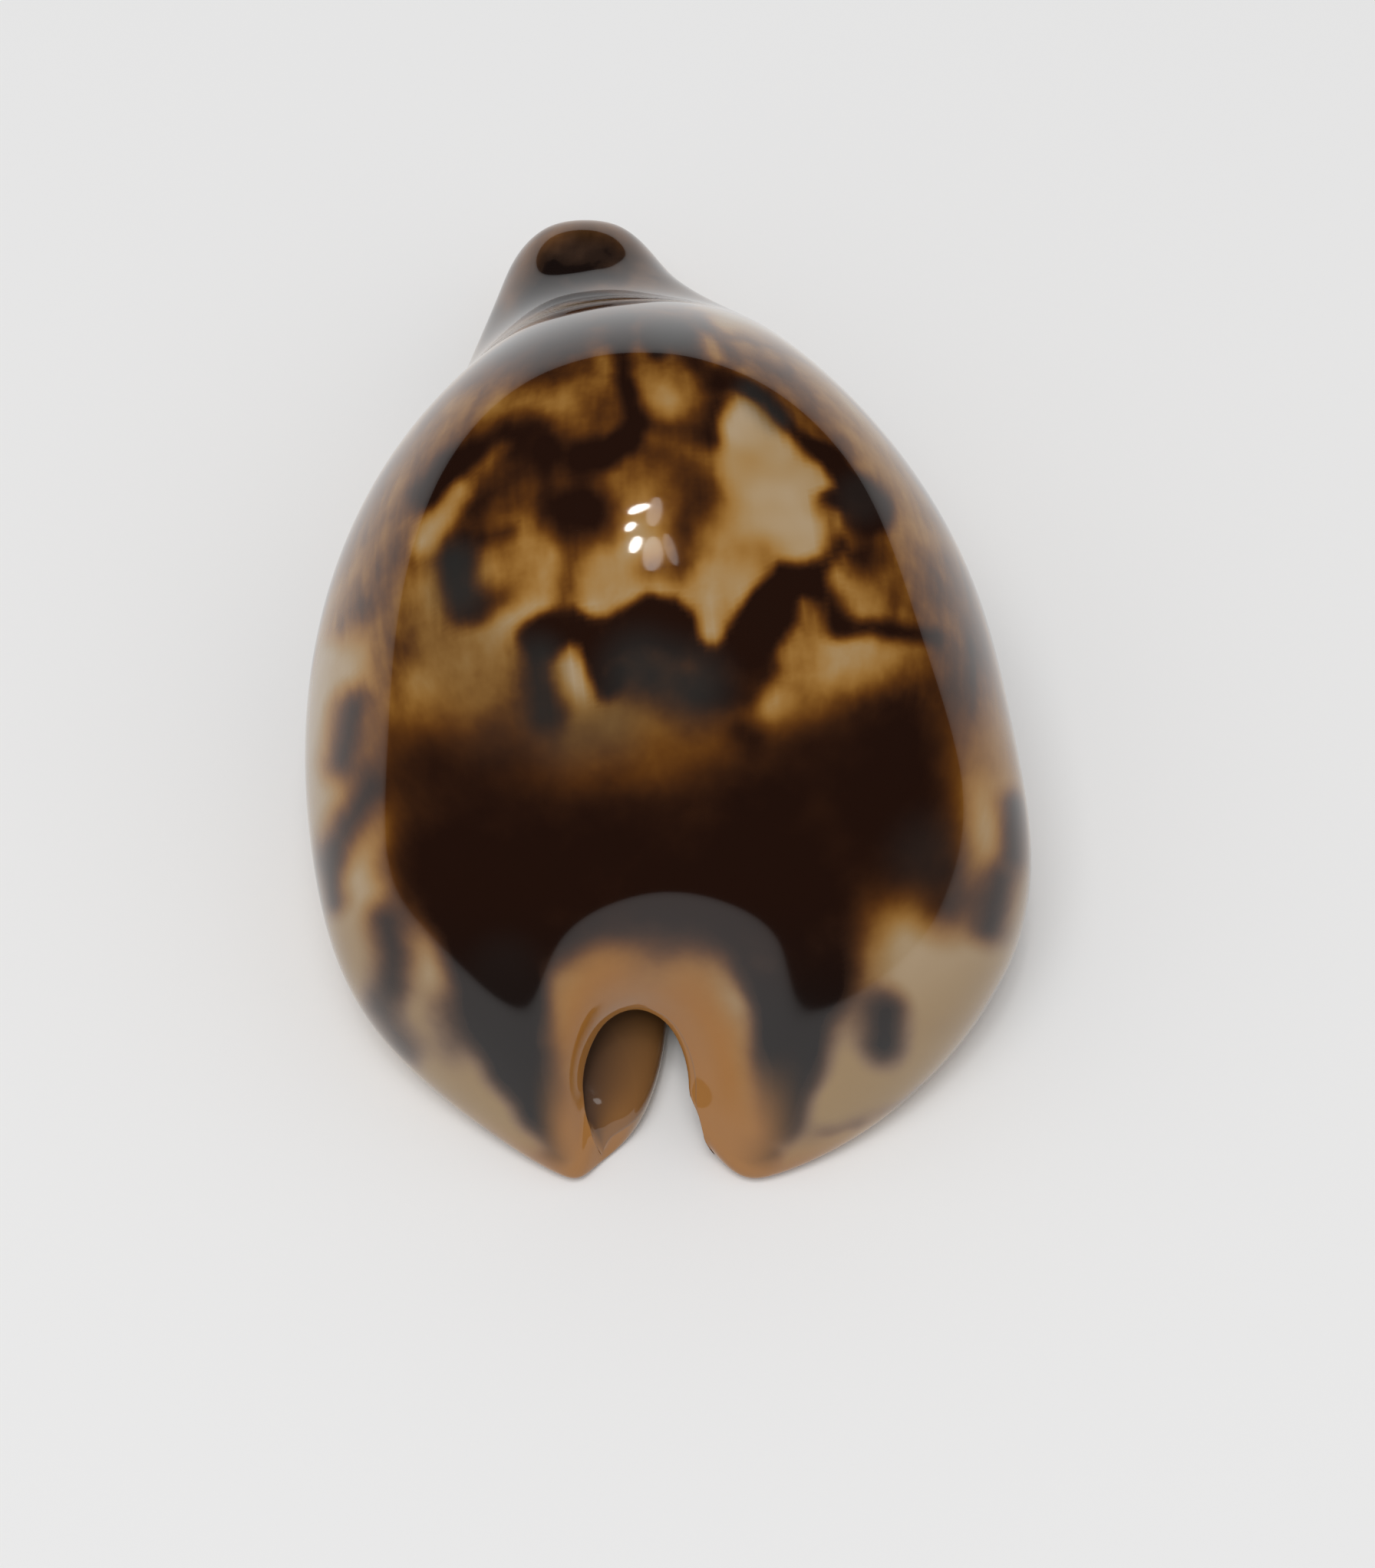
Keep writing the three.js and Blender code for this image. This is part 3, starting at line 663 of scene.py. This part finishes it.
# The crest, in mm, and the small lamps that show in its gloss: where each stands from it, its width and
# its length, in metres, and its power in watts.
CREST = (-1, -6.5, 33)
LAMPS = [
    (-0.055, -0.060, 0.998, 0.045, 0.100, 0.35),
    (-0.084, -0.190, 0.979, 0.035, 0.070, 0.24),
    (-0.066, -0.313, 0.948, 0.040, 0.120, 0.36),
    (-0.006, -0.078, 0.998, 0.040, 0.220, 0.08),
    (-0.018, -0.372, 0.928, 0.050, 0.240, 0.13),
    (0.030, -0.340, 0.940, 0.035, 0.220, 0.05),
]
# The large softbox overhead: its place and side in metres, its turn in radians and its power in watts.
SOFTBOX_PLACE, SOFTBOX_TURN = (-0.1, -0.2, 1.0), (-0.2, -0.1, 0)
SOFTBOX_SIDE, SOFTBOX_POWER = 0.5, 4.2
# The white room's brightness, and half the floor's side in metres.
ROOM_LIGHT, FLOOR_HALF = 0.45, 2.0
# The camera looks as the eye does, from a place, in mm, a little right of and below the eye's, so that
# the shell stands in the frame as in the photograph. Its lens and sensor are in mm too.
CAMERA_PLACE = np.array([1.244, -96.717, 186.471])
LENS, SENSOR = 76.25, 36


def floor_material(colour):
    """Matt white paper board: no gloss, one even pale tone."""
    material, tree = new_material("matt white board")
    shader = node(tree, "ShaderNodeBsdfPrincipled", None, Base_Color=(*colour, 1), Roughness=0.9)
    node(tree, "ShaderNodeOutputMaterial", None, Surface=shader.outputs[0])
    return material


def add_object(name, data):
    """Links a new object at the origin."""
    made = bpy.data.objects.new(name, data)
    bpy.context.scene.collection.objects.link(made)
    return made


class CowrieShell(bpy.types.PropertyGroup):
    labral_teeth: bpy.props.IntProperty(
        name="Right lip teeth", description="Teeth on the outer lip", default=18, min=6, max=40)
    columellar_teeth: bpy.props.IntProperty(
        name="Left lip teeth", description="Teeth on the inner lip", default=11, min=6, max=40)
    groove_depth: bpy.props.FloatProperty(
        name="Groove depth", description="Depth of the grooves between the teeth",
        default=0.75 * MM, min=0, max=1.2 * MM, unit="LENGTH", precision=5)
    pale: bpy.props.FloatVectorProperty(
        name="Pale", description="Clear enamel over the palest patch",
        subtype="COLOR", min=0, max=1, default=linear("#BAA58A"))
    cream: bpy.props.FloatVectorProperty(
        name="Cream", description="Ground of the back",
        subtype="COLOR", min=0, max=1, default=linear("#AB8C5E"))
    gold: bpy.props.FloatVectorProperty(
        name="Gold", description="Thin stain",
        subtype="COLOR", min=0, max=1, default=linear("#A87835"))
    amber: bpy.props.FloatVectorProperty(
        name="Amber", description="Stain's edge",
        subtype="COLOR", min=0, max=1, default=linear("#6C3E14"))
    brown: bpy.props.FloatVectorProperty(
        name="Brown", description="Dense stain",
        subtype="COLOR", min=0, max=1, default=linear("#3B2214"))
    black: bpy.props.FloatVectorProperty(
        name="Black", description="Densest stain",
        subtype="COLOR", min=0, max=1, default=linear("#1D0F0B"))
    slate: bpy.props.FloatVectorProperty(
        name="Slate", description="Dense stain deep under clear enamel",
        subtype="COLOR", min=0, max=1, default=linear("#303231"))
    callus: bpy.props.FloatVectorProperty(
        name="Callus", description="Milky ground of the sides",
        subtype="COLOR", min=0, max=1, default=linear("#A68A62"))
    tan: bpy.props.FloatVectorProperty(
        name="Tan", description="Thin stain under the callus",
        subtype="COLOR", min=0, max=1, default=linear("#866C56"))
    # Umber also colours the hind part of the inside, where it is painted shade of the hollow.
    umber: bpy.props.FloatVectorProperty(
        name="Umber", description="Brown under the callus",
        subtype="COLOR", min=0, max=1, default=linear("#564032"))
    plum: bpy.props.FloatVectorProperty(
        name="Plum", description="Dense spots under the callus",
        subtype="COLOR", min=0, max=1, default=linear("#1A1311"))
    caramel: bpy.props.FloatVectorProperty(
        name="Caramel", description="Rims of the two canals",
        subtype="COLOR", min=0, max=1, default=linear("#A6733E"))
    honey: bpy.props.FloatVectorProperty(
        name="Honey", description="Clear golden enamel beside the canals' rims",
        subtype="COLOR", min=0, max=1, default=linear("#A86E2A"))
    flesh: bpy.props.FloatVectorProperty(
        name="Flesh", description="The base",
        subtype="COLOR", min=0, max=1, default=linear("#C9AC88"))
    ivory: bpy.props.FloatVectorProperty(
        name="Ivory", description="The teeth",
        subtype="COLOR", min=0, max=1, default=linear("#E2D2B6"))
    lining: bpy.props.FloatVectorProperty(
        name="Lining", description="The inside",
        subtype="COLOR", min=0, max=1, default=linear("#B9A08C"))


class CowrieStage(bpy.types.PropertyGroup):
    floor_colour: bpy.props.FloatVectorProperty(
        name="Floor", description="Colour of the board", subtype="COLOR", default=linear("#F4F4F4"))
    distance: bpy.props.FloatProperty(
        name="Camera distance", description="From the shell's middle to the camera",
        default=EYE_DISTANCE * MM, unit="LENGTH")


class COWRIE_OT_shell(bpy.types.Operator):
    """Builds the shell over its solid and stains its enamel"""
    bl_idname = "cowrie.shell"
    bl_label = "Shell"

    def execute(self, context):
        sizes = context.scene.cowrie_shell
        mesh = shell_mesh(sizes)
        shell = add_object("shell_enamel", mesh)
        mesh.materials.append(enamel_material(sizes))
        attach(shell, "root")
        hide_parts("shell")
        return {"FINISHED"}


class COWRIE_OT_stage(bpy.types.Operator):
    """Builds the floor, the lights, the surroundings and the camera"""
    bl_idname = "cowrie.stage"
    bl_label = "Stage"

    def execute(self, context):
        stage = context.scene.cowrie_stage
        mesh = bpy.data.meshes.new("floor")
        corners = [(x * FLOOR_HALF, y * FLOOR_HALF, 0) for x, y in ((-1, -1), (1, -1), (1, 1), (-1, 1))]
        mesh.from_pydata(corners, [], [(0, 1, 2, 3)])
        mesh.materials.append(floor_material(stage.floor_colour))
        add_object("floor", mesh)

        lamp = bpy.data.lights.new("softbox", "AREA")
        lamp.shape = "SQUARE"
        lamp.size, lamp.energy = SOFTBOX_SIDE, SOFTBOX_POWER
        soft = add_object("softbox", lamp)
        soft.location, soft.rotation_euler = SOFTBOX_PLACE, SOFTBOX_TURN
        # The softbox and the room don't show in the gloss: the small lamps and the floor do.
        soft.visible_glossy = False
        crest = mathutils.Vector(CREST) * MM
        for k, (x, y, z, width, length, energy) in enumerate(LAMPS):
            lamp = bpy.data.lights.new(f"lamp_{k + 1}", "AREA")
            lamp.shape = "ELLIPSE"
            lamp.size, lamp.size_y, lamp.energy = width, length, energy
            bulb = add_object(lamp.name, lamp)
            toward = mathutils.Vector((x, y, z))
            bulb.location = crest + toward
            bulb.rotation_euler = toward.to_track_quat("Z", "Y").to_euler()

        world = bpy.data.worlds.new("studio")
        context.scene.world = world
        world.use_nodes = True
        world.node_tree.nodes["Background"].inputs[0].default_value = (1, 1, 1, 1)
        world.node_tree.nodes["Background"].inputs[1].default_value = ROOM_LIGHT
        world.cycles_visibility.glossy = False

        lens = bpy.data.cameras.new("camera")
        lens.lens, lens.sensor_width = LENS, SENSOR
        lens.clip_start, lens.clip_end = 0.01, 10
        camera = add_object("camera", lens)
        share = stage.distance / (EYE_DISTANCE * MM)
        camera.location = AIM * MM + (CAMERA_PLACE - AIM) * MM * share
        camera.rotation_euler = (math.pi / 2 - EYE_ELEVATION, 0, 0)
        context.scene.camera = camera
        context.scene.view_settings.view_transform = "Standard"
        return {"FINISHED"}


class COWRIE_PT_panel(bpy.types.Panel):
    """Sizes, colours and buttons for the shell and its stage"""
    bl_label = "Fulton's Cowrie"
    bl_space_type = "VIEW_3D"
    bl_region_type = "UI"
    bl_category = "Cowrie"

    def draw(self, context):
        scene = context.scene
        for group, button in ((scene.cowrie_shell, "cowrie.shell"), (scene.cowrie_stage, "cowrie.stage")):
            box = self.layout.box()
            for name in group.bl_rna.properties.keys():
                if name not in ("rna_type", "name"):
                    box.prop(group, name)
            box.operator(button)


CLASSES = (CowrieShell, CowrieStage, COWRIE_OT_shell, COWRIE_OT_stage, COWRIE_PT_panel)


def register():
    """Adds the classes and their settings to Blender."""
    for made in CLASSES:
        bpy.utils.register_class(made)
    bpy.types.Scene.cowrie_shell = bpy.props.PointerProperty(type=CowrieShell)
    bpy.types.Scene.cowrie_stage = bpy.props.PointerProperty(type=CowrieStage)


def unregister():
    """Takes the settings and the classes out again."""
    del bpy.types.Scene.cowrie_stage
    del bpy.types.Scene.cowrie_shell
    for made in reversed(CLASSES):
        bpy.utils.unregister_class(made)


def main():
    """Builds the shell and its stage."""
    register()
    bpy.ops.cowrie.shell()
    bpy.ops.cowrie.stage()


if __name__ == "__main__":
    main()
